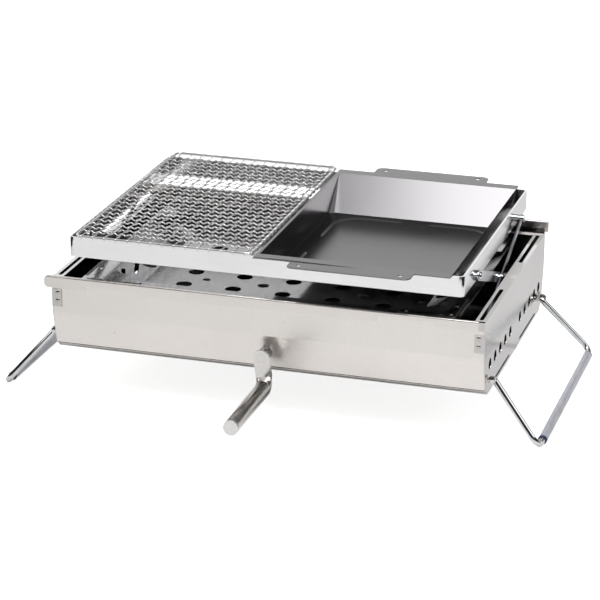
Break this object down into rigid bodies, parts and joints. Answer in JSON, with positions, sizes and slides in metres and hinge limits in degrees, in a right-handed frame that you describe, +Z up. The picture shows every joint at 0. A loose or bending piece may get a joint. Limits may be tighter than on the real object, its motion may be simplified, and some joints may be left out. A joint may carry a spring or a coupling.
{
  "type": "hibachi grill",
  "caption": "Low folding-leg charcoal grill box with a crank-raised scissor-lift frame carrying a wire-mesh grate and a removable griddle pan.",
  "frame": {"origin": "centre of the floor pan's underside, halfway along the box and halfway between its front and rear walls", "axes": "+X along the box to the right as seen from the crank side, +Y to the back, +Z up"},
  "size_m": [0.7624, 0.5851, 0.2357],
  "materials": {
    "box_steel": "satin stainless sheet",
    "end_steel": "bright stainless sheet, faintly mirror-like",
    "tray_steel": "bright polished stainless sheet",
    "frame_steel": "bright plated band",
    "mesh_chrome": "bright plated wire",
    "leg_chrome": "bright plated wire",
    "crank_steel": "polished tube",
    "cap_plastic": "white plug",
    "sleeve_plastic": "grey clear sleeve",
    "griddle_enamel": "glossy dark enamel",
    "fastener_steel": "plain steel",
    "arm_steel": "plated flat steel",
    "screw_steel": "plain ground steel",
    "nut_brass": "machined brass"
  },
  "bodies": {
    "firebox": {"front_panel": "box_steel", "rear_panel": "box_steel", "right_end_panel": "end_steel", "left_end_panel": "end_steel", "floor_pan": "box_steel", "front_rail": "box_steel", "rear_rail": "box_steel", "corner_rivets": "fastener_steel", "charcoal_tray": "tray_steel", "tray_gussets": "tray_steel", "gusset_rivets": "fastener_steel", "tray_supports": "box_steel", "leg_lugs": "fastener_steel", "pivot_bushings": "fastener_steel", "slide_brackets": "fastener_steel", "front_bearing": "fastener_steel", "rear_bearing": "fastener_steel"},
    "crank": {"crank_handle": "crank_steel", "crank_end_cap": "cap_plastic", "lead_screw": "screw_steel"},
    "inner_arms": {"inner_arm_right": "arm_steel", "inner_arm_left": "arm_steel", "rear_cross_shaft": "screw_steel", "slide_bolts": "fastener_steel"},
    "outer_arms": {"outer_arm_right": "arm_steel", "outer_arm_left": "arm_steel", "front_cross_shaft": "screw_steel", "middle_pins": "fastener_steel"},
    "cooking_frame": {"cooking_frame": "frame_steel", "rear_frame_pins": "fastener_steel"},
    "screw_nut": {"screw_nut": "nut_brass"},
    "mesh_grate": {"grate_ring": "mesh_chrome", "grate_long_wires": "mesh_chrome", "grate_cross_wires": "mesh_chrome"},
    "griddle": {"griddle_pan": "griddle_enamel"},
    "right_leg": {"right_leg": "leg_chrome", "right_foot_sleeve": "sleeve_plastic"},
    "left_leg": {"left_leg": "leg_chrome", "left_foot_sleeve": "sleeve_plastic"}
  },
  "joints": [
    {"name": "crank_turn", "type": "hinge", "parent": "firebox", "child": "crank", "pos_m": [0.002, -0.205, 0.031], "axis": [0, 1, 0], "range_deg": [-612, 1430]},
    {"name": "inner_arm_swing", "type": "hinge", "parent": "firebox", "child": "inner_arms", "pos_m": [0, 0.126, 0.06], "axis": [-1, 0, 0], "range_deg": [-3.05, 7.05]},
    {"name": "scissor_cross", "type": "hinge", "parent": "inner_arms", "child": "outer_arms", "pos_m": [0, 0, 0.1045], "axis": [1, 0, 0], "range_deg": [-6.1, 14.1]},
    {"name": "frame_level", "type": "hinge", "parent": "outer_arms", "child": "cooking_frame", "pos_m": [0, 0.126, 0.149], "axis": [-1, 0, 0], "range_deg": [-3.05, 7.05]},
    {"name": "nut_level", "type": "hinge", "parent": "outer_arms", "child": "screw_nut", "pos_m": [0, -0.126, 0.06], "axis": [-1, 0, 0], "range_deg": [-3.05, 7.05]},
    {"name": "grate_lift", "type": "slide", "parent": "cooking_frame", "child": "mesh_grate", "axis": [0, 0, 1], "range_m": [0, 0.08]},
    {"name": "griddle_lift", "type": "slide", "parent": "cooking_frame", "child": "griddle", "axis": [0, 0, 1], "range_m": [0, 0.1]},
    {"name": "right_leg_fold", "type": "hinge", "parent": "firebox", "child": "right_leg", "pos_m": [0.306, -0.006, 0.0234], "axis": [0, -1, 0], "range_deg": [0, 130]},
    {"name": "left_leg_fold", "type": "hinge", "parent": "firebox", "child": "left_leg", "pos_m": [-0.306, -0.006, 0.0234], "axis": [0, 1, 0], "range_deg": [0, 130]}
  ],
  "couplings": [
    {"joint": "inner_arm_swing", "follows": "crank_turn", "ratio": 0.004891},
    {"joint": "scissor_cross", "follows": "crank_turn", "ratio": 0.009782},
    {"joint": "frame_level", "follows": "crank_turn", "ratio": 0.004891},
    {"joint": "nut_level", "follows": "crank_turn", "ratio": 0.004891}
  ]
}
